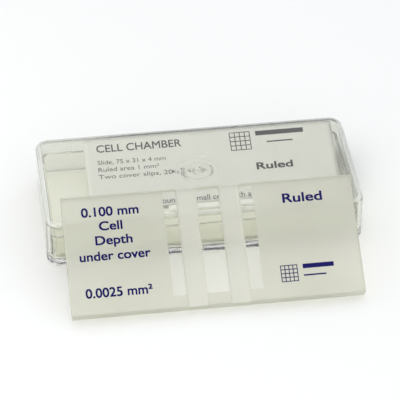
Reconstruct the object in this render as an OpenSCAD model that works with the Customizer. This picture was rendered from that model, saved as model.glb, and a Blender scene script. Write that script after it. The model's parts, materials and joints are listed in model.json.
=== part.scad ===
// Counting chamber (hemocytometer) with its lift-off-lid storage case.
// The case stands on the table with its underside centre at the origin: +X along its
// length, +Y to the back, +Z up. The glass chamber stands in front of it, with its lower
// long edge on the table and its underside leaning on the rounded front edge of the lid.
// All sizes are in millimetres.

/* [Counting chamber] */
// Length of the glass chamber
slide_l = 75; // [70:0.5:80]
// Width of the glass chamber, from one long edge to the other
slide_w = 31.4; // [28:0.1:36]
// Thickness of the glass over the support bars
slide_t = 4; // [3:0.1:5]
// Angle between the leaning chamber and the table, in degrees
lean = 32; // [26:0.5:40]
// Sideways offset of the chamber from the middle of the case
slide_shift = 0.25; // [-3:0.05:3]
// Chamfer on the upper edges of the glass
slide_chamfer = 0.35; // [0.1:0.05:0.6]
// Width of the counting platform in the middle
platform_w = 5.8; // [4:0.1:8]
// Width of each support bar that carries the cover glass
bar_w = 3.4; // [2:0.1:5]
// Distance from the middle of the chamber to the middle of a support bar
bar_x = 9.9; // [8:0.1:14]
// Height of the cover glass above the counting platform
counting_depth = 0.1; // [0.02:0.01:0.2]
// Depth of the two grooves beside the platform
groove_depth = 1.1; // [0.6:0.1:1.6]
// How far the matt end fields lie below the support bars
field_drop = 0.1; // [0.05:0.01:0.3]

/* [Case] */
// Outside length of the case
case_l = 82.8; // [78:0.1:96]
// Outside width of the case, front to back
case_w = 36.6; // [34:0.1:46]
// Outside height of the closed case
case_h = 13.5; // [11:0.1:18]
// Plan radius of the four upright corners
corner_r = 3.5; // [3:0.1:6]
// Radius of the rounded top edge of the lid
edge_r = 1; // [0.4:0.1:1.5]
// Thickness of the lid walls
lid_wall = 1; // [0.8:0.1:1.5]
// Thickness of the lid top
lid_top = 1; // [0.8:0.1:1.5]
// Height of the outside rim that the lid stands on
rim_h = 2.7; // [2:0.1:4]
// Chamfer under the rim
rim_chamfer = 0.6; // [0.2:0.1:0.9]
// Thickness of the tray floor
floor_t = 1.2; // [0.8:0.1:1.6]
// Thickness of the tray walls inside the lid
tray_wall = 0.9; // [0.7:0.1:1.2]
// Height of the top of the tray walls above the table
tray_h = 9.2; // [7:0.1:10.5]
// Sliding clearance between the tray walls and the lid walls
lid_gap = 0.25; // [0.15:0.05:0.5]
// Diameter of the round moulding recess in the middle of the lid
disc_d = 12.2; // [8:0.1:16]
// Depth of that recess
disc_depth = 0.2; // [0.1:0.05:0.4]
// Length of the friction rib on each end wall of the tray
rib_l = 7; // [4:0.5:12]
// Clearance between a friction rib and the lid wall
rib_gap = 0.05; // [0.02:0.01:0.1]

/* [Contents] */
// Thickness of the foam pad on the tray floor
pad_t = 2; // [1:0.1:3]
// Clearance all round the foam pad
pad_gap = 0.2; // [0.1:0.05:0.5]
// Length of the label card
card_l = 67.2; // [50:0.1:74]
// Width of the label card
card_w = 22.5; // [16:0.1:28]
// Thickness of the label card
card_t = 0.3; // [0.2:0.05:0.5]
// Distance from the left end of the lid cavity to the label card
card_inset = 11.7; // [2:0.1:14]
// Clearance between the raised edge of the label card and the lid top
card_top_gap = 0.05; // [0.03:0.01:0.3]
// Clearance between that edge and the lid's rear wall, which leaves room for the round
// inside corner of the lid at the card's right end
card_back_gap = 0.1; // [0.1:0.01:0.4]
// Long side of a cover glass
cover_l = 26; // [22:1:32]
// Short side of a cover glass
cover_w = 20; // [18:1:24]
// Thickness of a cover glass
cover_t = 0.4; // [0.15:0.05:0.6]
// Thickness of the wallet paper
paper_t = 0.12; // [0.08:0.02:0.2]
// Distance of the wallet to the right of the middle of the case
wallet_x = 6; // [-6:1:14]
// Clearance between the wallet and the tray's rear wall
wallet_gap = 0.3; // [0.1:0.05:0.6]

/* [Hidden] */
$fn = 96;
// small gap left between pieces of different moving bodies that rest on each other
rest_gap = 0.02;
// an overlap that makes cuts and joined shapes meet cleanly
eps = 0.5;

platform_top = slide_t - counting_depth;
field_top = slide_t - field_drop;
groove_floor = slide_t - groove_depth;
groove_in = platform_w / 2;
groove_out = bar_x - bar_w / 2;
field_in = bar_x + bar_w / 2;

lid_in_l = case_l - 2 * lid_wall;
lid_in_w = case_w - 2 * lid_wall;
lid_in_r = corner_r - lid_wall;
lid_in_z = case_h - lid_top;
lid_z = rim_h + rest_gap;
tray_out_l = lid_in_l - 2 * lid_gap;
tray_out_w = lid_in_w - 2 * lid_gap;
tray_out_r = lid_in_r - lid_gap;
tray_in_l = tray_out_l - 2 * tray_wall;
tray_in_w = tray_out_w - 2 * tray_wall;
tray_in_r = tray_out_r - tray_wall;
pad_top = floor_t + pad_t;
rib_z = (tray_h + rim_h) / 2 + 1;
rib_h = 0.9;
rib_out = lid_gap - rib_gap;

// the chamber's underside plane is tangent to the lid's front top rounding
edge_y = -case_w / 2 + edge_r;
edge_z = case_h - edge_r;
foot_y = edge_y - (edge_r + rest_gap + edge_z * cos(lean)) / sin(lean);

// the two glasses lie one on the other in the folded paper wallet
fold_gap = 0.02;
wallet_l = cover_l + 2.4;
wallet_w = cover_w + 1.4;
wallet_t = 2 * paper_t + 2 * cover_t + 3 * fold_gap;
wallet_top = pad_top + rest_gap + wallet_t;
cover_x = wallet_x + 0.4;

// the label card stands on the wallet and leans back under the lid's rear top corner
card_z = wallet_top + rest_gap;
card_rise = lid_in_z - card_top_gap - card_z;
card_diag = sqrt(card_w * card_w + card_t * card_t);
card_lean = asin(card_rise / card_diag) - atan(card_t / card_w);
card_y = lid_in_w / 2 - card_back_gap - card_w * cos(card_lean);
card_x = -lid_in_l / 2 + card_inset;

// the wallet lies against the rear wall, or further forward under a wide card, so that
// the card's front edge always stands on it
wallet_lead = 1.5;
wallet_front = min(tray_in_w / 2 - wallet_gap - wallet_w, card_y - wallet_lead);
wallet_y = wallet_front + wallet_w / 2;

// A flat outline with four round corners, drawn from true circles and rectangles.
module rounded_outline(l, w, r) {
    square([l - 2 * r, w], center = true);
    square([l, w - 2 * r], center = true);
    for (x = [-1, 1], y = [-1, 1])
        translate([x * (l / 2 - r), y * (w / 2 - r)])
            circle(r);
}

// An upright block with round corners, from height z0 to height z1.
module rounded_block(l, w, r, z0, z1) {
    translate([0, 0, z0])
        linear_extrude(height = z1 - z0)
            rounded_outline(l, w, r);
}

// One quarter-round edge profile: half_w wide, from z0 to z1, rounded at its upper corner.
module rounded_profile(half_w, z0, z1, r) {
    translate([0, z0])
        square([half_w, z1 - z0 - r]);
    translate([0, z1 - r])
        square([half_w - r, r]);
    translate([half_w - r, z1 - r])
        intersection() {
            circle(r);
            square(r);
        }
}

// A block with round upright corners whose top edge is rounded all the way round.
module soft_top_block(l, w, r, z0, z1, er) {
    for (x = [-1, 1], y = [-1, 1])
        translate([x * (l / 2 - r), y * (w / 2 - r), 0])
            rotate_extrude()
                rounded_profile(r, z0, z1, er);
    for (s = [0, 1])
        mirror([0, s, 0])
            rotate([90, 0, 90])
                translate([0, 0, -(l / 2 - r)])
                    linear_extrude(height = l - 2 * r)
                        rounded_profile(w / 2, z0, z1, er);
    for (s = [0, 1])
        mirror([s, 0, 0])
            rotate([90, 0, 0])
                translate([0, 0, -(w / 2 - r)])
                    linear_extrude(height = w - 2 * r)
                        rounded_profile(l / 2, z0, z1, er);
}

// Places a piece drawn in the chamber's own flat frame: x along it from its middle,
// y across it from the lower long edge, z up from its underside.
module on_chamber() {
    translate([slide_shift, foot_y, 0])
        rotate([lean, 0, 0])
            children();
}

// The glass block: chamfered along its upper edges, ground down to the platform,
// the grooves and the matt end fields, with the two support bars left proud.
module counting_chamber() {
    c = slide_chamfer;
    color([0.86, 0.88, 0.84])
        on_chamber()
            difference() {
                intersection() {
                    translate([0, slide_w, 0])
                        rotate([90, 0, 0])
                            linear_extrude(height = slide_w)
                                polygon([[-slide_l / 2, 0], [slide_l / 2, 0],
                                         [slide_l / 2, slide_t - c], [slide_l / 2 - c, slide_t],
                                         [-slide_l / 2 + c, slide_t], [-slide_l / 2, slide_t - c]]);
                    translate([-slide_l / 2 - eps, 0, 0])
                        rotate([90, 0, 90])
                            linear_extrude(height = slide_l + 2 * eps)
                                polygon([[0, 0], [slide_w, 0], [slide_w, slide_t - c],
                                         [slide_w - c, slide_t], [c, slide_t], [0, slide_t - c]]);
                }
                translate([-groove_in - eps, -eps, platform_top])
                    cube([2 * (groove_in + eps), slide_w + 2 * eps, counting_depth + eps]);
                for (s = [0, 1])
                    mirror([s, 0, 0]) {
                        translate([groove_in, -eps, groove_floor])
                            cube([groove_out - groove_in, slide_w + 2 * eps, groove_depth + eps]);
                        translate([field_in, -eps, field_top])
                            cube([slide_l / 2, slide_w + 2 * eps, field_drop + eps]);
                    }
            }
}

// The friction rib on an end wall of the tray, a low ridge with sloping sides.
module tray_rib(side) {
    mirror([side, 0, 0])
        translate([tray_out_l / 2, rib_l / 2, rib_z])
            rotate([90, 0, 0])
                linear_extrude(height = rib_l)
                    polygon([[-0.2, -rib_h / 2], [0, -rib_h / 2], [rib_out, -0.15],
                             [rib_out, 0.15], [0, rib_h / 2], [-0.2, rib_h / 2]]);
}

// The clear tray: a floor, an outside rim that carries the lid, and inner walls.
module case_tray() {
    color([0.85, 0.88, 0.86])
        difference() {
            union() {
                rounded_block(case_l, case_w, corner_r, rim_chamfer, rim_h);
                for (x = [-1, 1], y = [-1, 1])
                    translate([x * (case_l / 2 - corner_r), y * (case_w / 2 - corner_r), 0])
                        cylinder(r1 = corner_r - rim_chamfer, r2 = corner_r, h = rim_chamfer);
                for (s = [0, 1])
                    mirror([0, s, 0])
                        rotate([90, 0, 90])
                            translate([0, 0, -(case_l / 2 - corner_r)])
                                linear_extrude(height = case_l - 2 * corner_r)
                                    polygon([[0, 0], [case_w / 2 - rim_chamfer, 0],
                                             [case_w / 2, rim_chamfer], [0, rim_chamfer]]);
                for (s = [0, 1])
                    mirror([s, 0, 0])
                        rotate([90, 0, 0])
                            translate([0, 0, -(case_w / 2 - corner_r)])
                                linear_extrude(height = case_w - 2 * corner_r)
                                    polygon([[0, 0], [case_l / 2 - rim_chamfer, 0],
                                             [case_l / 2, rim_chamfer], [0, rim_chamfer]]);
                rounded_block(tray_out_l, tray_out_w, tray_out_r, rim_h - eps, tray_h);
                for (side = [0, 1])
                    tray_rib(side);
            }
            rounded_block(tray_in_l, tray_in_w, tray_in_r, floor_t, tray_h + eps);
        }
}

// The clear deep lid, with a shallow round moulding recess and a raised gate ring.
module case_lid() {
    color([0.9, 0.92, 0.9])
        difference() {
            soft_top_block(case_l, case_w, corner_r, lid_z, case_h, edge_r);
            rounded_block(lid_in_l, lid_in_w, lid_in_r, lid_z - eps, lid_in_z);
            difference() {
                translate([0, 0, case_h - disc_depth])
                    cylinder(d = disc_d, h = disc_depth + eps);
                translate([0, 0, case_h - 2 * disc_depth])
                    difference() {
                        cylinder(d = 0.62 * disc_d, h = 1.6 * disc_depth);
                        translate([0, 0, -eps])
                            cylinder(d = 0.5 * disc_d, h = 2 * disc_depth + 2 * eps);
                    }
            }
        }
}

// The foam pad that lines the tray floor.
module foam_pad() {
    color([0.93, 0.93, 0.89])
        rounded_block(tray_in_l - 2 * pad_gap, tray_in_w - 2 * pad_gap,
                      tray_in_r - pad_gap, floor_t, pad_top);
}

// The printed card that leans inside the closed case.
module label_card() {
    color([0.92, 0.92, 0.9])
        translate([card_x, card_y, card_z])
            rotate([card_lean, 0, 0])
                cube([card_l, card_w, card_t]);
}

// The folded paper wallet of the cover glasses, open at its right end.
module glass_wallet() {
    color([0.95, 0.95, 0.93])
        translate([wallet_x - wallet_l / 2, wallet_y - wallet_w / 2, pad_top + rest_gap])
            difference() {
                cube([wallet_l, wallet_w, wallet_t]);
                translate([paper_t, paper_t, paper_t])
                    cube([wallet_l + eps, wallet_w - 2 * paper_t, wallet_t - 2 * paper_t]);
            }
}

// One cover glass with its four corners clipped, level from 0 for the lower one.
module cover_glass(level) {
    clip = 0.4;
    x = cover_l / 2;
    y = cover_w / 2;
    z = pad_top + rest_gap + paper_t + fold_gap + level * (cover_t + fold_gap);
    color([0.8, 0.9, 0.92])
        translate([cover_x, wallet_y, z])
            linear_extrude(height = cover_t)
                polygon([[-x + clip, -y], [x - clip, -y], [x, -y + clip], [x, y - clip],
                         [x - clip, y], [-x + clip, y], [-x, y - clip], [-x, -y + clip]]);
}

module cover_glass_lower() {
    cover_glass(0);
}

module cover_glass_upper() {
    cover_glass(1);
}

case_tray();
case_lid();
counting_chamber();
foam_pad();
label_card();
glass_wallet();
cover_glass_lower();
cover_glass_upper();
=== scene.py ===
# %% [markdown]
# # A counting chamber and its case
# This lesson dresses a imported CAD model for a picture. The model is a glass chamber for
# counting cells under a microscope, leaning on the closed clear case that it is sold in.
# We load the CAD pieces as a fixed frame, make finer pieces where the CAD solids are too
# plain, and give every surface a finish made from nodes.

import json
import math

import bmesh
import bpy
from mathutils import Matrix, Vector


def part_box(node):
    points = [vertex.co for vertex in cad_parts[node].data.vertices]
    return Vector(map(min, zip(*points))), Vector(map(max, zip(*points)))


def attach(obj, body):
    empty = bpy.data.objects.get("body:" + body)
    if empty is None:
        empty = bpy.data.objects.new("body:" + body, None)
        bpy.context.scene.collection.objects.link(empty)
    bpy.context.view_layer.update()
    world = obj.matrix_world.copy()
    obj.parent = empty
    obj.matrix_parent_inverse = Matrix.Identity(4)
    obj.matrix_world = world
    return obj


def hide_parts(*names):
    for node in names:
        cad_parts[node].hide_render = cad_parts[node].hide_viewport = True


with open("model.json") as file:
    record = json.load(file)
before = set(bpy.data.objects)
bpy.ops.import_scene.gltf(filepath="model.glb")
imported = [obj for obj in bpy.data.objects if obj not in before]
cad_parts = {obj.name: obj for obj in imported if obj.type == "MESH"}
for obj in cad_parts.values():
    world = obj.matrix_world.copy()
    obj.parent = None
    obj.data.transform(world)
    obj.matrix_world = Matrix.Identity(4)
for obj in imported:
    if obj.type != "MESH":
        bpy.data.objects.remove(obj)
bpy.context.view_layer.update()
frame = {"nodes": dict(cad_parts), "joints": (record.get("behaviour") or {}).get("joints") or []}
MM = 0.001

# %% [markdown]
# ## The camera
# A small object is photographed from far off with a long lens, which keeps its edges
# nearly parallel. We could aim the camera with a constraint, but a constraint hides the
# numbers. Here the camera is placed by its direction, its distance and the point that it
# looks at, so each can be read and changed by itself.

# %% camera
CAMERA_TURN = math.radians(8.06)
CAMERA_DOWN = math.radians(39.85)
CAMERA_ROLL = math.radians(0.40)
CAMERA_DISTANCE = 634.3 * MM
CAMERA_TARGET = Vector((0.74, 0.0, 3.09)) * MM
CAMERA_LENS = 214.9

look = Vector(
    (
        math.sin(CAMERA_TURN) * math.cos(CAMERA_DOWN),
        math.cos(CAMERA_TURN) * math.cos(CAMERA_DOWN),
        -math.sin(CAMERA_DOWN),
    )
)
level = Vector((math.cos(CAMERA_TURN), -math.sin(CAMERA_TURN), 0.0))
upward = level.cross(look)
right = level * math.cos(CAMERA_ROLL) + upward * math.sin(CAMERA_ROLL)
upright = right.cross(look)

camera_data = bpy.data.cameras.new("camera")
camera_data.lens = CAMERA_LENS
camera_data.sensor_width = 36.0
camera_data.clip_start = 0.01
camera_data.clip_end = 50.0
camera = bpy.data.objects.new("camera", camera_data)
bpy.context.scene.collection.objects.link(camera)
turn = Matrix((right, upright, -look)).transposed()
camera.matrix_world = Matrix.Translation(CAMERA_TARGET - look * CAMERA_DISTANCE) @ turn.to_4x4()
bpy.context.scene.camera = camera
print("camera at", [round(v, 3) for v in camera.matrix_world.translation])

# %% [markdown]
# ## Writing shaders as sums
# A material is a tree of nodes, and most of a tree is arithmetic on masks. Placing Math
# nodes one by one hides the idea, so one small class wraps a socket and lets us write
# `mask * 0.3 + 0.1`. Everything that isn't plain arithmetic goes through one method that
# sets a node's choices first and then its sockets.


# %% a socket that can be used in sums
class Socket:
    """One output of a shader node, usable in arithmetic with numbers and other outputs."""

    def __init__(self, tree, out):
        self.tree = tree
        self.out = out

    def math(self, operation, *others):
        values = dict(enumerate([self, *others]))
        return self.tree.add("ShaderNodeMath", {"operation": operation}, values)

    def flipped(self, operation, other):
        return self.tree.add("ShaderNodeMath", {"operation": operation}, {0: other, 1: self})

    def __add__(self, other):
        return self.math("ADD", other)

    def __mul__(self, other):
        return self.math("MULTIPLY", other)

    def __radd__(self, other):
        return self.flipped("ADD", other)

    def __rsub__(self, other):
        return self.flipped("SUBTRACT", other)

    def most(self, other):
        return self.math("MAXIMUM", other)


class Tree:
    """The node tree of one material, with a Principled shader ready in it."""

    def __init__(self, name):
        self.material = bpy.data.materials.new(name)
        self.material.use_nodes = True
        self.nodes = self.material.node_tree.nodes
        self.links = self.material.node_tree.links
        self.nodes.clear()
        self.surface = self.nodes.new("ShaderNodeBsdfPrincipled")
        self.output = self.nodes.new("ShaderNodeOutputMaterial")
        self.links.new(self.surface.outputs[0], self.output.inputs["Surface"])

    def fill(self, node, inputs):
        for key, value in inputs.items():
            if isinstance(value, Socket):
                self.links.new(value.out, node.inputs[key])
            else:
                node.inputs[key].default_value = value

    def add(self, kind, settings=None, inputs=None, output=0):
        """Adds a node: its settings first, then the values or links of its sockets."""
        node = self.nodes.new(kind)
        for key, value in (settings or {}).items():
            setattr(node, key, value)
        self.fill(node, inputs or {})
        return Socket(self, node.outputs[output])

    def set(self, **sockets):
        """Sets sockets of the Principled shader, written as base_color or coat_weight."""
        names = {"ior": "IOR", "specular_ior_level": "Specular IOR Level"}
        for key, value in sockets.items():
            self.fill(self.surface, {names.get(key, key.replace("_", " ").title()): value})

    def place(self):
        """The position on the piece itself, in metres."""
        return self.add("ShaderNodeTexCoord", output="Object")

    def scaled(self, x, y, z):
        """The position on the piece, stretched by a number on each axis."""
        return self.add(
            "ShaderNodeVectorMath",
            {"operation": "MULTIPLY"},
            {0: self.place(), 1: (x, y, z)},
        )

    def noise(self, grain, detail=3.0, roughness=0.5, where=None):
        """Noise whose blotches are about grain metres across, from 0 to 1."""
        return self.add(
            "ShaderNodeTexNoise",
            {"noise_dimensions": "3D"},
            {
                "Vector": where or self.place(),
                "Scale": 1.0 / grain,
                "Detail": detail,
                "Roughness": roughness,
            },
        )

    def mix(self, factor, a, b):
        """A colour between a and b."""
        return self.add("ShaderNodeMix", {"data_type": "RGBA"}, {0: factor, 6: a, 7: b}, output=2)

    def bump(self, height, depth, strength=1.0):
        """Surface relief of that depth in metres."""
        normal = self.add(
            "ShaderNodeBump", {}, {"Height": height, "Distance": depth, "Strength": strength}
        )
        self.set(normal=normal)

    def step(self, value, low, high):
        """0 below low and 1 above high, with a soft rise between."""
        return self.add(
            "ShaderNodeMapRange",
            {"interpolation_type": "SMOOTHSTEP", "clamp": True},
            {"Value": value, "From Min": low, "From Max": high, "To Min": 0.0, "To Max": 1.0},
        )

    def let_lamps_through(self, tint):
        """Shadow rays pass straight through, tinted, so that clear pieces don't go dark."""
        clear = self.add("ShaderNodeBsdfTransparent", {}, {"Color": (*tint, 1.0)})
        shadow = self.add("ShaderNodeLightPath", output="Is Shadow Ray")
        shader = Socket(self, self.surface.outputs[0])
        both = self.add("ShaderNodeMixShader", {}, {0: shadow, 1: shader, 2: clear})
        self.links.new(both.out, self.output.inputs["Surface"])


print("shader helpers ready")

# %% [markdown]
# ## Glass, ground and polished
# The chamber is one block of glass. Its end fields, grooves and sides are ground satin,
# and only the two bars, the platform and the underside keep their polish. One shader with
# a mask could do it all, but the border between ground and polished is a real edge of the
# block, so separate finishes on separate faces stay sharper. A satin face is the same
# glass with a rough surface: it scatters what lies behind it, and a very fine grain keeps
# it from looking like plastic. The grooves get a third finish, a satin with painted light:
# its colours are lighter, standing in for the extra light that comes through the thinner
# glass under them.


# %% satin and polished glass
def satin_glass(name, dark, light, clearness):
    t = Tree(name)
    grain = t.noise(0.00006, detail=2.0, roughness=0.7)
    cloud = t.noise(0.009, detail=3.0)
    t.set(
        base_color=t.mix(cloud, (*dark, 1.0), (*light, 1.0)),
        roughness=0.56 + cloud * 0.06 + grain * 0.06,
        ior=1.5,
        transmission_weight=clearness,
        specular_ior_level=0.3,
    )
    t.bump(grain, 0.000012, 0.5)
    t.let_lamps_through((1.0, 1.0, 0.98))
    return t.material


def polished_glass():
    t = Tree("polished_glass")
    wipe = t.noise(1.0, detail=4.0, roughness=0.6, where=t.scaled(900.0, 120.0, 900.0))
    haze = t.step(wipe, 0.5, 0.75)
    t.set(
        base_color=t.mix(haze, (0.998, 1.0, 0.985, 1.0), (0.975, 0.98, 0.955, 1.0)),
        roughness=haze * 0.035 + 0.008,
        ior=1.5,
        transmission_weight=1.0,
    )
    t.let_lamps_through((1.0, 1.0, 1.0))
    return t.material


SATIN = satin_glass("satin_glass", (0.65, 0.65, 0.545), (0.70, 0.70, 0.60), 0.5)
# painted light: the groove satin is coloured lighter than the field satin, for the extra light
# through the thinner glass
GROOVE_PAINTED_LIGHT = satin_glass("groove_satin_painted_light", (0.69, 0.69, 0.60), (0.75, 0.75, 0.665), 0.42)
POLISHED = polished_glass()
print("glass finishes:", SATIN.name, GROOVE_PAINTED_LIGHT.name, POLISHED.name)

# %% [markdown]
# ## Clear moulded plastic
# The case is clear polystyrene. New, it is as clear as glass, but it bends light a little
# unevenly, because the plastic shrinks as it cools, and it picks up hair-fine scratches.
# Slow waves in the surface give the first, and thin stretched noise gives the second. One
# function makes five finishes. The lid's top keeps the plastic's own tint; its walls are
# tinted darker as painted shade, its rounded edge and lip paler and less clear as a painted
# highlight, and its inside bend much darker as painted shade. The tray is the clearest.


# %% clear plastic
def clear_plastic(name, tint, clearness=1.0, roughness=0.012, shadow=(0.975, 0.98, 0.975)):
    t = Tree(name)
    waves = t.noise(0.014, detail=1.0)
    along = t.noise(1.0, detail=2.0, roughness=0.5, where=t.scaled(60.0, 2600.0, 60.0))
    across = t.noise(1.0, detail=2.0, roughness=0.5, where=t.scaled(2200.0, 90.0, 90.0))
    scratches = t.step(along, 0.68, 0.74).most(t.step(across, 0.7, 0.76))
    worn = tuple(channel * 0.94 for channel in tint)
    t.set(
        base_color=t.mix(scratches, (*tint, 1.0), (*worn, 1.0)),
        roughness=scratches * 0.09 + waves * 0.02 + roughness,
        ior=1.49,
        transmission_weight=clearness,
    )
    t.bump(waves + scratches * 0.03, 0.00004, 0.5)
    t.let_lamps_through(shadow)
    return t.material


LID_CLEAR = clear_plastic("lid_top_plastic", (0.95, 0.955, 0.915))
# painted shade: the lid's walls get a darker tint than its top
LID_WALL_SHADE = clear_plastic("lid_wall_painted_shade", (0.80, 0.81, 0.75))
# painted highlight: the lid's rounded edge and lip get a paler, less clear tint
LID_EDGE_HIGHLIGHT = clear_plastic("lid_edge_painted_highlight", (0.90, 0.92, 0.87), 0.62, 0.12)
# painted shade: the lid's inside bend gets a much darker tint
LID_FOLD_SHADE = clear_plastic("lid_fold_painted_shade", (0.52, 0.52, 0.46), 0.92, 0.04)
TRAY_PLASTIC = clear_plastic("tray_plastic", (0.99, 0.99, 0.95), 0.985, 0.03, (0.98, 0.98, 0.97))
plastics = [LID_CLEAR, LID_WALL_SHADE, LID_EDGE_HIGHLIGHT, LID_FOLD_SHADE, TRAY_PLASTIC]
print("plastic finishes:", [material.name for material in plastics])

# %% [markdown]
# ## Foam, card and paper
# Three pale sheets that must not look alike. Foam is a crowd of tiny cells, so a Voronoi
# pattern dents its surface. Card has short fibres and a low, even shine. The wallet paper
# is thinner, so it is more rumpled, and it is whiter than the card.


# %% foam, card and paper
def foam():
    t = Tree("foam")
    cells = t.add(
        "ShaderNodeTexVoronoi",
        {"feature": "F1"},
        {"Vector": t.place(), "Scale": 2600.0},
        output="Distance",
    )
    patch = t.noise(0.012, detail=3.0)
    t.set(
        base_color=t.mix(patch, (0.86, 0.86, 0.78, 1.0), (0.91, 0.91, 0.835, 1.0)),
        roughness=0.86 - cells * 0.12,
        sheen_weight=0.15,
        sheen_roughness=0.6,
    )
    t.bump(cells, 0.00012, 0.6)
    return t.material


def card_stock():
    t = Tree("card_stock")
    fibres = t.noise(1.0, detail=4.0, roughness=0.65, where=t.scaled(1500.0, 5200.0, 1500.0))
    blotch = t.noise(0.008, detail=3.0)
    t.set(
        base_color=t.mix(blotch, (0.66, 0.66, 0.62, 1.0), (0.715, 0.715, 0.68, 1.0)),
        roughness=0.58 + fibres * 0.16,
        specular_ior_level=0.35,
    )
    t.bump(fibres, 0.00003, 0.5)
    return t.material


def wallet_paper():
    t = Tree("wallet_paper")
    fibres = t.noise(1.0, detail=4.0, roughness=0.7, where=t.scaled(3200.0, 1300.0, 1300.0))
    rumple = t.noise(0.004, detail=2.0)
    t.set(
        base_color=t.mix(rumple, (0.80, 0.80, 0.77, 1.0), (0.88, 0.88, 0.86, 1.0)),
        roughness=0.72 + fibres * 0.14,
        specular_ior_level=0.25,
    )
    t.bump(rumple + fibres * 0.3, 0.00015, 0.5)
    return t.material


FOAM = foam()
CARD = card_stock()
PAPER = wallet_paper()
print("pale sheets:", FOAM.name, CARD.name, PAPER.name)

# %% [markdown]
# ## Inks and the thin cover glasses
# The marks on the glass are fired enamel: a thick navy layer with a soft gloss and a
# slightly grainy edge. The card is printed in dull dark grey. The ruling on the platform
# is a set of hair-fine cuts that show as grey lines. A cover glass is drawn glass, so it
# has no grain at all, only a breath of green and a few wipe marks.


# %% inks and cover glass
def ink(name, dark, light, grain, roughness, coat):
    t = Tree(name)
    speck = t.noise(grain, detail=3.0, roughness=0.6)
    t.set(
        base_color=t.mix(t.step(speck, 0.35, 0.75), dark, light),
        roughness=roughness + speck * 0.12,
        coat_weight=coat,
        coat_roughness=0.2,
        specular_ior_level=0.12,
    )
    t.bump(speck, 0.000008, 0.5)
    return t.material


def cover_glass():
    t = Tree("cover_glass")
    wipe = t.step(t.noise(1.0, detail=3.0, where=t.scaled(140.0, 900.0, 900.0)), 0.5, 0.8)
    t.set(
        base_color=t.mix(wipe, (0.965, 0.985, 0.975, 1.0), (0.94, 0.955, 0.95, 1.0)),
        roughness=wipe * 0.03 + 0.006,
        ior=1.52,
        transmission_weight=1.0,
    )
    t.let_lamps_through((0.94, 0.96, 0.95))
    return t.material


ENAMEL = ink("navy_enamel", (0.003, 0.002, 0.075, 1.0), (0.012, 0.010, 0.14, 1.0), 0.0002, 0.38, 0.03)
CARD_INK = ink("card_ink", (0.025, 0.025, 0.023, 1.0), (0.07, 0.07, 0.066, 1.0), 0.00015, 0.6, 0.0)
RULING = ink("ruling_lines", (0.16, 0.17, 0.17, 1.0), (0.26, 0.27, 0.27, 1.0), 0.00005, 0.5, 0.0)
COVER = cover_glass()
print("inks:", ENAMEL.name, CARD_INK.name, RULING.name, "and", COVER.name)

# %% [markdown]
# ## Helpers for meshes
# Every moulded piece here is a stack of outlines joined like the hoops of a barrel. One
# helper draws an outline with round corners, one walks round a quarter bend, and one joins
# a stack of outlines into a closed skin. Weighted normals then keep the flat faces flat
# and the edges soft.


# %% mesh helpers
SMALLEST_RADIUS = 0.02 * MM


def add_piece(name, mesh, materials, matrix=None):
    """Puts a mesh in the scene as a named piece with its materials."""
    piece = bpy.data.objects.new(name, mesh)
    for material in materials:
        mesh.materials.append(material)
    bpy.context.scene.collection.objects.link(piece)
    if matrix is not None:
        piece.matrix_world = matrix
    return piece


def outline(length, width, radius, z, corner_steps=8, long_steps=32, short_steps=16):
    """A rectangle with round corners at height z, as points going round once."""
    hx = length / 2
    hy = width / 2
    r = max(radius, SMALLEST_RADIUS)
    points = []
    corners = [(1, 1, 0.0), (-1, 1, 90.0), (-1, -1, 180.0), (1, -1, 270.0)]
    for i, (sx, sy, start) in enumerate(corners):
        centre = Vector((sx * (hx - r), sy * (hy - r)))
        for k in range(corner_steps + 1):
            a = math.radians(start + 90.0 * k / corner_steps)
            points.append((centre.x + r * math.cos(a), centre.y + r * math.sin(a), z))
        here = Vector(points[-1][:2])
        nx, ny, nstart = corners[(i + 1) % 4]
        a = math.radians(nstart)
        there = Vector((nx * (hx - r) + r * math.cos(a), ny * (hy - r) + r * math.sin(a)))
        steps = long_steps if i % 2 == 0 else short_steps
        for k in range(1, steps):
            p = here.lerp(there, k / steps)
            points.append((p.x, p.y, z))
    return points


def on_circle(ring, radius, z):
    """The points of a ring pulled in to a circle, each keeping its bearing."""
    out = []
    for x, y, _ in ring:
        far = math.hypot(x, y)
        out.append((x / far * radius, y / far * radius, z))
    return out


def quarter(steps, rising=True):
    """Points along a quarter circle, each as its distance in and its distance up."""
    points = []
    for k in range(steps + 1):
        share = k / steps if rising else 1 - k / steps
        a = math.radians(90.0 * share)
        points.append((1 - math.cos(a), math.sin(a)))
    return points


def join_rings(name, rings, materials, material_of=None):
    """Joins rings of equal length into a skin, with a face over each end."""
    bm = bmesh.new()
    loops = [[bm.verts.new(p) for p in ring] for ring in rings]
    count = len(loops[0])
    for level_index, (a, b) in enumerate(zip(loops, loops[1:])):
        for k in range(count):
            n = (k + 1) % count
            face = bm.faces.new((a[k], a[n], b[n], b[k]))
            if material_of:
                face.material_index = material_of(level_index)
    bm.faces.new(list(reversed(loops[0])))
    bm.faces.new(loops[-1])
    bmesh.ops.recalc_face_normals(bm, faces=bm.faces)
    for face in bm.faces:
        face.smooth = True
    mesh = bpy.data.meshes.new(name)
    bm.to_mesh(mesh)
    bm.free()
    piece = add_piece(name, mesh, materials)
    weigh = piece.modifiers.new("flat_faces", "WEIGHTED_NORMAL")
    weigh.keep_sharp = True
    weigh.weight = 100
    return piece


print("mesh helpers ready")

# %% [markdown]
# ## The lid
# A deep lid with thin walls. The CAD lid has sharp inside edges; a moulded one has small
# bends there too, which draw the fine light and dark lines along its rim. Those lines are
# also painted: the rounded edge and the lip carry a painted highlight, the walls painted
# shade and the inside bend a darker painted shade. The skin starts at the middle of the
# outside, runs over the rounded edge, down the wall, round the lip, and back up the inside.
# The round moulding mark is a shallow step in the top with a plain ring and a gate dot, and
# carries no sign.

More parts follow.
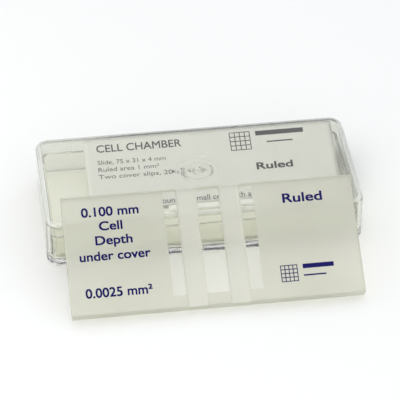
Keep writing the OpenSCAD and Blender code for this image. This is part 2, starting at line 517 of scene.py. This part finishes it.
# %% lid sizes
lid_low, lid_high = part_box("case_lid")
CASE_L = lid_high[0] - lid_low[0]
CASE_W = lid_high[1] - lid_low[1]
LID_BOTTOM = lid_low[2]
CASE_TOP = lid_high[2]
CORNER_R = 3.5 * MM
EDGE_R = 1.0 * MM
LID_WALL = 1.0 * MM
LID_TOP = 1.0 * MM
INNER_BEND = 0.5 * MM
LIP_BEND = 0.15 * MM
DISC_DEPTH = 0.2 * MM
print("lid is", round(CASE_L / MM, 2), "by", round(CASE_W / MM, 2), "mm")


# %% build the lid
def lid_ring(inset, z):
    """The lid's outline, moved inwards by inset, at height z."""
    return outline(CASE_L - 2 * inset, CASE_W - 2 * inset, CORNER_R - inset, z)


def build_lid():
    # four slots: the plain top, the walls with painted shade, the rounded edge and lip with a painted
    # highlight, and the inside bend with darker painted shade
    top, side, edge, fold = range(4)
    base_ring = lid_ring(EDGE_R, CASE_TOP)
    rings = []
    slots = []

    def put(ring, slot):
        rings.append(ring)
        slots.append(slot)

    # the moulding mark, from the gate dot outwards, as radius in mm and height
    floor = CASE_TOP - DISC_DEPTH
    moulding = [
        (0.35, floor + 0.12 * MM),
        (0.6, floor + 0.10 * MM),
        (0.75, floor),
        (3.0, floor),
        (3.15, floor + 0.10 * MM),
        (3.3, floor + 0.14 * MM),
        (3.6, floor + 0.14 * MM),
        (3.75, floor + 0.10 * MM),
        (3.9, floor),
        (5.6, floor),
        (5.8, floor + 0.04 * MM),
        (6.05, CASE_TOP - 0.03 * MM),
        (6.2, CASE_TOP),
        (6.6, CASE_TOP),
    ]
    for radius, z in moulding:
        put(on_circle(base_ring, radius * MM, z), top)
    put(lid_ring(EDGE_R + 0.25 * MM, CASE_TOP), edge)
    # over the rounded top edge
    for k, (across, up) in enumerate(quarter(8, rising=False)):
        ring = lid_ring(EDGE_R * across, CASE_TOP - EDGE_R + EDGE_R * up)
        put(ring, edge if k < 5 else side)
    # round the lip
    for across, up in quarter(4):
        put(lid_ring(LIP_BEND * across, LID_BOTTOM + LIP_BEND - LIP_BEND * up), edge)
    for k, (across, up) in enumerate(quarter(4, rising=False)):
        ring = lid_ring(LID_WALL - LIP_BEND * across, LID_BOTTOM + LIP_BEND - LIP_BEND * up)
        put(ring, edge if k < 4 else side)
    # up the inside and across under the top
    under = CASE_TOP - LID_TOP
    for k, (across, up) in enumerate(quarter(5)):
        ring = lid_ring(LID_WALL + INNER_BEND * across, under - INNER_BEND + INNER_BEND * up)
        put(ring, fold if k < 5 else top)
    put(on_circle(base_ring, 8.0 * MM, under), top)
    put(on_circle(base_ring, 0.4 * MM, under), top)
    finishes = [LID_CLEAR, LID_WALL_SHADE, LID_EDGE_HIGHLIGHT, LID_FOLD_SHADE]
    return join_rings("lid_shell", rings, finishes, material_of=lambda level: slots[level])


lid = build_lid()
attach(lid, "lid")
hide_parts("case_lid")
print("lid faces:", len(lid.data.polygons))

# %% [markdown]
# ## The tray
# The tray has a low rim that lies flush with the lid, a step that the lid stands on, and
# walls that reach up inside the lid. Seen through the lid, those walls double every edge.
# It is built as one stack of outlines, like the lid, from the middle of its underside to
# the middle of its floor. A shallow field under the base keeps it off the table except
# along a foot round its edge.

# %% tray sizes
tray_low, tray_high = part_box("case_tray")
RIM_TOP = 2.7 * MM
TRAY_TOP = tray_high[2]
FLOOR_Z = 1.2 * MM
TRAY_OUT = 1.25 * MM
TRAY_WALL = 0.9 * MM
FOOT_W = 2.2 * MM
FOOT_RISE = 0.15 * MM
LOWER_BEND = 0.75 * MM
STEP_BEND = 0.12 * MM
CROWN_BEND = 0.3 * MM
FLOOR_BEND = 0.15 * MM
MIDDLE_R = 0.5 * MM
INNER_HOOP_R = 10.0 * MM
print("tray walls reach", round(TRAY_TOP / MM, 2), "mm")


# %% build the tray
def build_tray():
    rings = []
    base_ring = lid_ring(EDGE_R, 0.0)
    rings.append(on_circle(base_ring, MIDDLE_R, FOOT_RISE))
    rings.append(on_circle(base_ring, INNER_HOOP_R, FOOT_RISE))
    rings.append(lid_ring(FOOT_W + 0.2 * MM, FOOT_RISE))
    rings.append(lid_ring(FOOT_W, 0.0))
    # the rounded lower edge, a little deeper than the CAD chamfer
    for across, up in quarter(6, rising=False):
        rings.append(lid_ring(LOWER_BEND * across, LOWER_BEND - LOWER_BEND * up))
    # the step that the lid stands on
    for across, up in quarter(3):
        rings.append(lid_ring(STEP_BEND * across, RIM_TOP - STEP_BEND + STEP_BEND * up))
    for across, up in quarter(3, rising=False):
        inset = TRAY_OUT - STEP_BEND * across
        rings.append(lid_ring(inset, RIM_TOP + STEP_BEND - STEP_BEND * up))
    # over the top of the wall
    for across, up in quarter(5):
        inset = TRAY_OUT + CROWN_BEND * across
        rings.append(lid_ring(inset, TRAY_TOP - CROWN_BEND + CROWN_BEND * up))
    for across, up in quarter(5, rising=False):
        inset = TRAY_OUT + TRAY_WALL - CROWN_BEND * across
        rings.append(lid_ring(inset, TRAY_TOP - CROWN_BEND + CROWN_BEND * up))
    # down the inside and across the floor
    for across, up in quarter(3, rising=False):
        inset = TRAY_OUT + TRAY_WALL + FLOOR_BEND * (1 - up)
        rings.append(lid_ring(inset, FLOOR_Z + FLOOR_BEND * across))
    rings.append(on_circle(base_ring, INNER_HOOP_R, FLOOR_Z))
    rings.append(on_circle(base_ring, MIDDLE_R, FLOOR_Z))
    return join_rings("tray_shell", rings, [TRAY_PLASTIC])


tray = build_tray()
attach(tray, "tray")
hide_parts("case_tray")
print("tray faces:", len(tray.data.polygons))

# %% [markdown]
# ## Friction ribs
# A long low ridge on each end wall of a real tray presses on the lid and holds it shut.
# Here it stops a hair short, so that the lid can move freely. It is a lens of plastic:
# widest in the middle and almost gone at both ends.

# %% friction ribs
RIB_L = 7.0 * MM
RIB_H = 0.9 * MM
RIB_OUT = 0.2 * MM
RIB_Z = (TRAY_TOP + RIM_TOP) / 2 + 1.0 * MM
RIB_ROOT = 0.05 * MM
RIB_LEAST = 0.02


def build_rib(name, side):
    wall_x = CASE_L / 2 - TRAY_OUT
    rings = []
    for k in range(13):
        y = -RIB_L / 2 + RIB_L * k / 12
        swell = math.sqrt(max(1 - (2 * y / RIB_L) ** 2, RIB_LEAST))
        ring = []
        for j in range(9):
            a = math.radians(-90 + 180 * j / 8)
            x = wall_x - RIB_ROOT + (RIB_OUT + RIB_ROOT) * swell * math.cos(a)
            ring.append((side * x, y, RIB_Z + RIB_H / 2 * swell * math.sin(a)))
        ring.append((side * (wall_x - 2 * RIB_ROOT), y, RIB_Z))
        rings.append(ring)
    rib = join_rings(name, rings, [TRAY_PLASTIC])
    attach(rib, "tray")
    return rib


ribs = [build_rib("rib_left", -1), build_rib("rib_right", 1)]
print("ribs:", [rib.name for rib in ribs])

# %% [markdown]
# ## The glass chamber
# The block is drawn in its own flat frame, as it lies on a microscope: x along it, y
# across it and z up. One cross-section holds the whole design: satin fields at the ends,
# two polished bars that carry the cover glass, two grooves, and the platform a tenth of a
# millimetre lower than the bars. The same section is drawn at several stations across the
# width, cut lower at both ends to make the ground chamfers. The grinding runs a little
# way in from each long edge, so the polish on top stops short of them. The wheel leaves
# round corners at the bottom of the grooves, which the CAD grooves don't have.

# %% chamber frame and sizes
slide_low, slide_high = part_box("counting_chamber")
lift = next(j for j in frame["joints"] if j["name"] == "chamber_lift")
LEAN = math.atan2(-lift["axis"][1], lift["axis"][2])
SLIDE_L = slide_high[0] - slide_low[0]
SLIDE_W = 31.4 * MM
SLIDE_T = 4.0 * MM
foot = Vector(
    (
        (slide_low[0] + slide_high[0]) / 2,
        slide_high[1] - SLIDE_W * math.cos(LEAN),
        slide_low[2],
    )
)
ON_CHAMBER = Matrix.Translation(foot) @ Matrix.Rotation(LEAN, 4, "X")
CHAMFER = 0.35 * MM
SOFT_EDGE = 0.04 * MM
GROOVE_IN = 2.9 * MM
GROOVE_OUT = 8.2 * MM
FIELD_IN = 11.6 * MM
COUNTING_DEPTH = 0.1 * MM
FIELD_DROP = 0.1 * MM
GROOVE_DEPTH = 1.1 * MM
PLATFORM_Z = SLIDE_T - COUNTING_DEPTH
FIELD_Z = SLIDE_T - FIELD_DROP
GROOVE_Z = SLIDE_T - GROOVE_DEPTH
GROOVE_BEND = 0.85 * MM
SATIN_LOW = 3.0 * MM
SATIN_HIGH = 1.0 * MM
POLISHED_ROW = 2
print("chamber leans", round(math.degrees(LEAN), 2), "degrees")
print("its lower edge is at", [round(v, 5) for v in foot])


# %% build the chamber
def half_section():
    """Points of the upper surface from the middle to the right end, with finishes."""
    r = GROOVE_BEND
    c = CHAMFER
    soft = SOFT_EDGE
    points = [
        (0.0, PLATFORM_Z, POLISHED),
        (GROOVE_IN - soft, PLATFORM_Z, SATIN),
        (GROOVE_IN, PLATFORM_Z - soft, SATIN),
    ]
    for across, up in quarter(8):
        points.append((GROOVE_IN + r * across, GROOVE_Z + r * (1 - up), GROOVE_PAINTED_LIGHT))
    for across, up in quarter(8, rising=False):
        points.append((GROOVE_OUT - r * across, GROOVE_Z + r * (1 - up), GROOVE_PAINTED_LIGHT))
    points += [
        (GROOVE_OUT, SLIDE_T - soft, SATIN),
        (GROOVE_OUT + soft, SLIDE_T, POLISHED),
        (FIELD_IN - soft, SLIDE_T, SATIN),
        (FIELD_IN, FIELD_Z, SATIN),
        (SLIDE_L / 2 - c, FIELD_Z, SATIN),
        (SLIDE_L / 2 - soft, SLIDE_T - c - soft, SATIN),
        (SLIDE_L / 2, SLIDE_T - c - 3 * soft, SATIN),
        (SLIDE_L / 2, 3 * soft, SATIN),
        (SLIDE_L / 2 - soft, 0.0, POLISHED),
    ]
    return points


def build_chamber():
    half = half_section()
    right_side = [(x, z) for x, z, _ in half]
    finishes = [finish for _, _, finish in half]
    section = right_side + [(-x, z) for x, z in reversed(right_side[1:])]
    # the finish of the stretch that starts at each point, mirrored for the left half
    stretch = finishes[:-1] + [POLISHED] + list(reversed(finishes[:-1]))
    slots = [SATIN, POLISHED, GROOVE_PAINTED_LIGHT]
    # where the section is drawn across the width, and how high it may reach there
    stations = [
        (0.0, SLIDE_T - CHAMFER),
        (CHAMFER, SLIDE_T),
        (SATIN_LOW, SLIDE_T),
        (SLIDE_W - SATIN_HIGH, SLIDE_T),
        (SLIDE_W - CHAMFER, SLIDE_T),
        (SLIDE_W, SLIDE_T - CHAMFER),
    ]
    bm = bmesh.new()
    rows = []
    for y, ceiling in stations:
        rows.append([bm.verts.new((x, y, min(z, ceiling))) for x, z in section])
    count = len(section)
    for row, (a, b) in enumerate(zip(rows, rows[1:])):
        for k in range(count):
            n = (k + 1) % count
            face = bm.faces.new((a[k], b[k], b[n], a[n]))
            underside = section[k][1] < SLIDE_T / 2
            finish = stretch[k]
            if finish is POLISHED and not (row == POLISHED_ROW or underside):
                finish = SATIN
            face.material_index = slots.index(finish)
            face.smooth = finish is GROOVE_PAINTED_LIGHT
    bm.faces.new(rows[0])
    bm.faces.new(list(reversed(rows[-1])))
    bmesh.ops.recalc_face_normals(bm, faces=bm.faces)
    mesh = bpy.data.meshes.new("chamber_glass")
    bm.to_mesh(mesh)
    bm.free()
    return add_piece("chamber_glass", mesh, slots, ON_CHAMBER)


chamber = build_chamber()
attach(chamber, "chamber")
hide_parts("counting_chamber")
print("chamber faces:", len(chamber.data.polygons))

# %% [markdown]
# ## Marks and rulings
# The real marks name a maker, so ours don't: they give the cell depth and the area of the
# smallest square, which any such chamber carries, and a plain grid sign. Letters start
# as text, become meshes, and lie on the surface as a film of ink. Thickening the outline
# of a letter spoils its shape, so a bold letter is five copies of a plain one, each moved
# aside by a hair. The ruling is a square millimetre of hair-fine lines in the middle of
# the platform.


# %% ink on a surface
CAPITAL_SHARE = 0.72
INK_HALF = 0.006 * MM
INK_LIFT = 0.012 * MM
RULING_LIFT = 0.008 * MM
BOLD_LAYER = 0.0005 * MM


def ink_text(name, words, size, at, wide, matrix, material, body, weight=0.0, lift_by=None):
    """Letters as a thin film of ink, size high at a capital and wide across, in metres."""
    data = bpy.data.curves.new(name, "FONT")
    data.body = words
    data.size = size / CAPITAL_SHARE
    data.extrude = INK_HALF
    data.resolution_u = 6
    source = bpy.data.objects.new(name + "_source", data)
    bpy.context.scene.collection.objects.link(source)
    bpy.context.view_layer.update()
    graph = bpy.context.evaluated_depsgraph_get()
    mesh = bpy.data.meshes.new_from_object(source.evaluated_get(graph))
    mesh.name = name
    bpy.data.objects.remove(source)
    bm = bmesh.new()
    shifts = [(0, 0)] if weight == 0 else [(0, 0), (-1, -1), (1, -1), (1, 1), (-1, 1)]
    for layer, (sx, sy) in enumerate(shifts):
        copy = mesh.copy()
        shift = (sx * weight, sy * weight, BOLD_LAYER * layer)
        copy.transform(Matrix.Translation(shift))
        bm.from_mesh(copy)
        bpy.data.meshes.remove(copy)
    bm.to_mesh(mesh)
    bm.free()
    start = min(vertex.co.x for vertex in mesh.vertices)
    end = max(vertex.co.x for vertex in mesh.vertices)
    stretch = Matrix.Diagonal((wide / (end - start), 1.0, 1.0, 1.0))
    mesh.transform(Matrix.Translation(at) @ stretch @ Matrix.Translation((-start, 0.0, 0.0)))
    if lift_by:
        for vertex in mesh.vertices:
            vertex.co.z += lift_by(vertex.co.x, vertex.co.y)
    mesh.materials.clear()
    piece = add_piece(name, mesh, [material], matrix)
    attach(piece, body)
    return piece


def ink_bars(name, bars, z, matrix, material, body, lift_by=None):
    """Thin upright-sided bars of ink: each is (x0, y0, x1, y1), in metres."""
    bm = bmesh.new()
    for x0, y0, x1, y1 in bars:
        corners = [(x0, y0), (x1, y0), (x1, y1), (x0, y1)]
        low = [bm.verts.new((x, y, z - INK_HALF)) for x, y in corners]
        top = [bm.verts.new((x, y, z + INK_HALF)) for x, y in corners]
        bm.faces.new(list(reversed(low)))
        bm.faces.new(top)
        for k in range(4):
            n = (k + 1) % 4
            bm.faces.new((low[k], low[n], top[n], top[k]))
    if lift_by:
        for vertex in bm.verts:
            vertex.co.z += lift_by(vertex.co.x, vertex.co.y)
    mesh = bpy.data.meshes.new(name)
    bm.to_mesh(mesh)
    bm.free()
    piece = add_piece(name, mesh, [material], matrix)
    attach(piece, body)
    return piece


def grid_sign(x, y, size, line, cells=4):
    """Bars of a square grid sign with its lower left corner at (x, y)."""
    bars = []
    for k in range(cells + 1):
        p = size * k / cells
        bars.append((x + p - line / 2, y - line / 2, x + p + line / 2, y + size + line / 2))
        bars.append((x - line / 2, y + p - line / 2, x + size + line / 2, y + p + line / 2))
    return bars


# %% marks on the chamber
FILM_Z = FIELD_Z + INK_LIFT


def mark(name, words, size, left, right, low, weight=0.07):
    """A line of enamel letters, its place measured from the chamber's lower left corner."""
    at = Vector((left * MM - SLIDE_L / 2, low * MM, FILM_Z))
    wide = (right - left) * MM
    piece = ink_text(
        name, words, size * MM, at, wide, ON_CHAMBER, ENAMEL, "chamber", weight * MM
    )
    return piece


marks = [
    mark("mark_depth", "0.100 mm", 2.5, 4.8, 19.5, 25.7),
    mark("mark_word_1", "Cell", 2.4, 9.0, 15.0, 21.9),
    mark("mark_word_2", "Depth", 2.4, 7.7, 17.2, 18.1),
    mark("mark_word_3", "under cover", 2.4, 3.3, 21.4, 14.0),
    mark("mark_area", "0.0025 mm²", 2.5, 3.9, 20.9, 4.3),
    mark("mark_ruling", "Ruled", 2.5, 56.6, 66.9, 25.2),
]
sign_bars = grid_sign(53.9 * MM - SLIDE_L / 2, 4.2 * MM, 4.2 * MM, 0.22 * MM)
sign_bars.append((59.6 * MM - SLIDE_L / 2, 7.3 * MM, 67.6 * MM - SLIDE_L / 2, 8.5 * MM))
sign_bars.append((59.6 * MM - SLIDE_L / 2, 5.3 * MM, 65.4 * MM - SLIDE_L / 2, 5.7 * MM))
sign = ink_bars("mark_sign", sign_bars, FILM_Z, ON_CHAMBER, ENAMEL, "chamber")
print("marks:", [m.name for m in marks] + [sign.name])

# %% ruling on the platform
RULED = 1.0 * MM
RULED_CELLS = 20
THIN_LINE = 0.006 * MM
STRONG_LINE = 0.010 * MM
OVERRUN = 0.15 * MM
c = SLIDE_W / 2
reach = RULED / 2 + OVERRUN
ruling_bars = []
for k in range(RULED_CELLS + 1):
    p = RULED * k / RULED_CELLS - RULED / 2
    w = THIN_LINE if k % 5 else STRONG_LINE
    ruling_bars.append((p - w / 2, c - reach, p + w / 2, c + reach))
    ruling_bars.append((-reach, c + p - w / 2, reach, c + p + w / 2))
ruling = ink_bars(
    "ruling", ruling_bars, PLATFORM_Z + RULING_LIFT, ON_CHAMBER, RULING, "chamber"
)
print("ruling lines:", len(ruling_bars))

# %% [markdown]
# ## The label card
# A loose card leans in the closed case: its front edge stands on the wallet and its back
# edge is caught under the lid. A real card is never quite flat, so it is built as a fine
# net of points with a slight sag, and the print follows the same sag. Its lean is worked
# out from its own size and its box, as the CAD model does.

# %% card frame
card_low, card_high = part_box("label_card")
CARD_L = card_high[0] - card_low[0]
CARD_W = 22.5 * MM
CARD_T = 0.3 * MM
CARD_SAG = 0.22 * MM
CORNER_CLIP = 0.18 * MM
rise = card_high[2] - card_low[2]
CARD_LEAN = math.asin(rise / math.hypot(CARD_W, CARD_T)) - math.atan(CARD_T / CARD_W)
card_foot = Vector(
    (card_low[0], card_high[1] - CARD_W * math.cos(CARD_LEAN), card_low[2])
)
ON_CARD = Matrix.Translation(card_foot) @ Matrix.Rotation(CARD_LEAN, 4, "X")
print("card leans", round(math.degrees(CARD_LEAN), 2), "degrees")


# %% build the card
def card_sag(x, y):
    """The card's height over its flat plane at a point on it, which is never above 0."""
    u = x / CARD_L
    v = y / CARD_W
    return -CARD_SAG * math.sin(math.pi * u) * math.sin(math.pi * v)


def build_card():
    columns = 48
    rows_count = 16
    bm = bmesh.new()
    sheets = []
    for z in (0.0, CARD_T):
        grid = []
        for j in range(rows_count + 1):
            row = []
            for i in range(columns + 1):
                x = CARD_L * i / columns
                y = CARD_W * j / rows_count
                if i in (0, columns) and j in (0, rows_count):
                    x += CORNER_CLIP if i == 0 else -CORNER_CLIP
                    y += CORNER_CLIP if j == 0 else -CORNER_CLIP
                row.append(bm.verts.new((x, y, z + card_sag(x, y))))
            grid.append(row)
        sheets.append(grid)
    for s, grid in enumerate(sheets):
        for j in range(rows_count):
            for i in range(columns):
                quad = (grid[j][i], grid[j][i + 1], grid[j + 1][i + 1], grid[j + 1][i])
                face = bm.faces.new(quad if s else tuple(reversed(quad)))
                face.smooth = True
    low, top = sheets
    rim_low = low[0] + [r[-1] for r in low[1:]] + low[-1][-2::-1] + [r[0] for r in low[-2:0:-1]]
    rim_top = top[0] + [r[-1] for r in top[1:]] + top[-1][-2::-1] + [r[0] for r in top[-2:0:-1]]
    count = len(rim_low)
    for k in range(count):
        n = (k + 1) % count
        bm.faces.new((rim_low[k], rim_low[n], rim_top[n], rim_top[k]))
    bmesh.ops.recalc_face_normals(bm, faces=bm.faces)
    mesh = bpy.data.meshes.new("card_sheet")
    bm.to_mesh(mesh)
    bm.free()
    return add_piece("card_sheet", mesh, [CARD], ON_CARD)


card = build_card()
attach(card, "card")
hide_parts("label_card")
print("card faces:", len(card.data.polygons))


# %% print on the card
def card_line(name, words, size, left, right, top, weight=0.0):
    """A printed line, its place measured from the card's upper left corner."""
    at = Vector((left * MM, CARD_W - top * MM, CARD_T + INK_LIFT))
    wide = (right - left) * MM
    piece = ink_text(
        name, words, size * MM, at, wide, ON_CARD, CARD_INK, "card", weight * MM, card_sag
    )
    return piece


CARD_USE = "Slide for the counts of small cells with a microscope"
card_print = [
    card_line("card_title", "CELL CHAMBER", 2.3, 3.4, 26.2, 4.3, 0.03),
    card_line("card_small_1", "Slide, 75 x 31 x 4 mm", 1.35, 3.3, 21.5, 8.1),
    card_line("card_small_2", "Ruled area 1 mm²", 1.35, 3.3, 19.5, 10.3),
    card_line("card_small_3", "Two cover slips, 20 x 26 mm", 1.35, 3.2, 32.5, 12.5),
    card_line("card_ruling", "Ruled", 2.1, 45.4, 55.2, 13.3, 0.07),
    card_line("card_use", CARD_USE, 1.7, 6.0, 54.0, 21.9, 0.02),
]
card_sign = grid_sign(39.4 * MM, CARD_W - 6.9 * MM, 5.4 * MM, 0.24 * MM)
card_sign.append((46.4 * MM, CARD_W - 2.9 * MM, 59.4 * MM, CARD_W - 1.5 * MM))
card_sign.append((49.2 * MM, CARD_W - 5.2 * MM, 56.2 * MM, CARD_W - 4.8 * MM))
card_sign_piece = ink_bars(
    "card_sign", card_sign, CARD_T + INK_LIFT, ON_CARD, CARD_INK, "card", card_sag
)
print("card print:", len(card_print) + 1, "pieces")

# %% [markdown]
# ## Foam pad
# A sheet of closed-cell foam lines the tray. Its cut edges are a little rounded, and its
# top is never quite level. The pad is one closed skin of stacked outlines, and the points
# on top ripple by a twentieth of a millimetre. Its underside is raised by a hair, because
# two faces in exactly one plane would render as dark bands through the clear floor.

# %% build the foam pad
pad_low, pad_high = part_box("foam_pad")
PAD_CORNER = 1.15 * MM
PAD_INNER_CORNER = 0.8 * MM
PAD_SOFT = 0.3 * MM
PAD_RAISE = 0.04 * MM
PAD_RIPPLE = 0.05 * MM
RIPPLE_X = 410.0
RIPPLE_Y = 530.0


def build_pad():
    length = pad_high[0] - pad_low[0]
    width = pad_high[1] - pad_low[1]
    soft = PAD_SOFT
    rings = []
    base_ring = outline(length, width, PAD_CORNER, 0.0)
    bottom = pad_low[2] + PAD_RAISE
    rings.append(on_circle(base_ring, 1.0 * MM, bottom))
    rings.append(outline(length, width, PAD_CORNER, bottom))
    for across, up in quarter(4):
        inset = soft * across
        z = pad_high[2] - soft + soft * up
        rings.append(outline(length - 2 * inset, width - 2 * inset, PAD_CORNER - inset, z))
    for tenths in range(9, 0, -1):
        share = tenths / 10
        flat_length = (length - 2 * soft) * share
        flat_width = (width - 2 * soft) * share
        ring = []
        for x, y, _ in outline(flat_length, flat_width, PAD_INNER_CORNER * share, 0.0):
            dent = PAD_RIPPLE * (1 + math.sin(x * RIPPLE_X) * math.cos(y * RIPPLE_Y)) / 2
            ring.append((x, y, pad_high[2] - dent))
        rings.append(ring)
    pad = join_rings("foam_sheet", rings, [FOAM])
    middle = ((pad_low[0] + pad_high[0]) / 2, (pad_low[1] + pad_high[1]) / 2, 0.0)
    pad.matrix_world = Matrix.Translation(middle)
    return pad


pad = build_pad()
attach(pad, "tray")
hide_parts("foam_pad")
print("pad faces:", len(pad.data.polygons))

# %% [markdown]
# ## Wallet and cover glasses
# The two cover glasses travel in a folded paper wallet, open at one end, with soft folds.
# A real one is held by a glued flap, which is left out here. The wallet is a stack of
# sections along its length, out over the outside and back down the inside. The glasses
# keep their CAD shape, which is already right, and only get a better finish.

# %% build the wallet
wallet_low, wallet_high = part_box("glass_wallet")
PAPER_T = 0.12 * MM
FOLD_BEND = 0.38 * MM


def sleeve_ring(x, inset):
    """A section of the wallet at x, moved inwards by inset."""
    hy = (wallet_high[1] - wallet_low[1]) / 2 - inset
    hz = (wallet_high[2] - wallet_low[2]) / 2 - inset
    cy = (wallet_high[1] + wallet_low[1]) / 2
    cz = (wallet_high[2] + wallet_low[2]) / 2
    r = min(FOLD_BEND, hz * 0.9)
    ring = []
    for sy, sz, start in ((1, 1, 0.0), (-1, 1, 90.0), (-1, -1, 180.0), (1, -1, 270.0)):
        for k in range(6):
            a = math.radians(start + 90.0 * k / 5)
            y = cy + sy * (hy - r) + r * math.cos(a)
            z = cz + sz * (hz - r) + r * math.sin(a)
            ring.append((x, y, z))
    return ring


def build_wallet():
    x0 = wallet_low[0]
    x1 = wallet_high[0]
    steps = 10
    # the closed end is pinched a little, and full width starts here
    full = x0 + 0.4 * MM
    rings = [sleeve_ring(x0, 0.3 * MM), sleeve_ring(x0 + 0.12 * MM, 0.08 * MM)]
    for k in range(steps + 1):
        rings.append(sleeve_ring(full + (x1 - full) * k / steps, 0.0))
    rings += [sleeve_ring(x1, PAPER_T), sleeve_ring(x0 + 0.5 * MM, PAPER_T)]
    return join_rings("wallet_sleeve", rings, [PAPER])


wallet = build_wallet()
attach(wallet, "wallet")
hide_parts("glass_wallet")
for name in ("cover_glass_lower", "cover_glass_upper"):
    node = frame["nodes"][name]
    for slot_index in range(len(node.material_slots)):
        node.material_slots[slot_index].material = COVER
print("wallet faces:", len(wallet.data.polygons))

# %% [markdown]
# ## Table and light
# A pale matt table, a broad soft light from above and to the left, a weaker one from the
# right, and a pale sky. Clear things are lit best by what lies behind them, so most of
# the light comes from the bright table and the sky. Light that is caught inside a clear
# wall is turned back many times before it gets out, so each kind of bounce gets a high
# limit; with a low one the walls would go black.


# %% table and sky
def table_finish():
    t = Tree("table")
    patch = t.noise(0.3, detail=3.0)
    t.set(
        base_color=t.mix(patch, (0.86, 0.86, 0.835, 1.0), (0.89, 0.89, 0.865, 1.0)),
        roughness=0.8 + patch * 0.1,
        specular_ior_level=0.2,
    )
    return t.material


TABLE_HALF = 3.0
TABLE_Z = -0.2 * MM
CLEAR_BOUNCES = 32
DIFFUSE_BOUNCES = 8
table_mesh = bpy.data.meshes.new("table_top")
table_mesh.from_pydata(
    [(x * TABLE_HALF, y * TABLE_HALF, TABLE_Z) for x, y in ((-1, -1), (1, -1), (1, 1), (-1, 1))],
    [],
    [(0, 1, 2, 3)],
)
table = add_piece("table_top", table_mesh, [table_finish()])

world = bpy.data.worlds.new("sky")
world.use_nodes = True
world.node_tree.nodes["Background"].inputs["Color"].default_value = (0.93, 0.95, 1.0, 1.0)
world.node_tree.nodes["Background"].inputs["Strength"].default_value = 0.94
bpy.context.scene.world = world


def soft_light(name, place, aim, size, power, colour):
    data = bpy.data.lights.new(name, "AREA")
    data.shape = "SQUARE"
    data.size = size
    data.energy = power
    data.color = colour
    lamp = bpy.data.objects.new(name, data)
    bpy.context.scene.collection.objects.link(lamp)
    lamp.location = place
    lamp.rotation_euler = (Vector(aim) - Vector(place)).to_track_quat("-Z", "Y").to_euler()
    return lamp


lamps = [
    soft_light("key_light", (-0.36, -0.14, 0.42), (0, 0, 0), 0.4, 1.1, (1.0, 0.98, 0.93)),
    soft_light("fill_light", (0.7, -0.35, 0.55), (0, 0, 0), 0.6, 0.8, (0.95, 0.975, 1.0)),
]
bpy.context.scene.view_settings.view_transform = "Standard"
for kind in ("max_bounces", "transmission_bounces", "glossy_bounces"):
    setattr(bpy.context.scene.cycles, kind, CLEAR_BOUNCES)
bpy.context.scene.cycles.diffuse_bounces = DIFFUSE_BOUNCES
bpy.context.scene.cycles.transparent_max_bounces = CLEAR_BOUNCES
print("lamps:", [lamp.name for lamp in lamps])
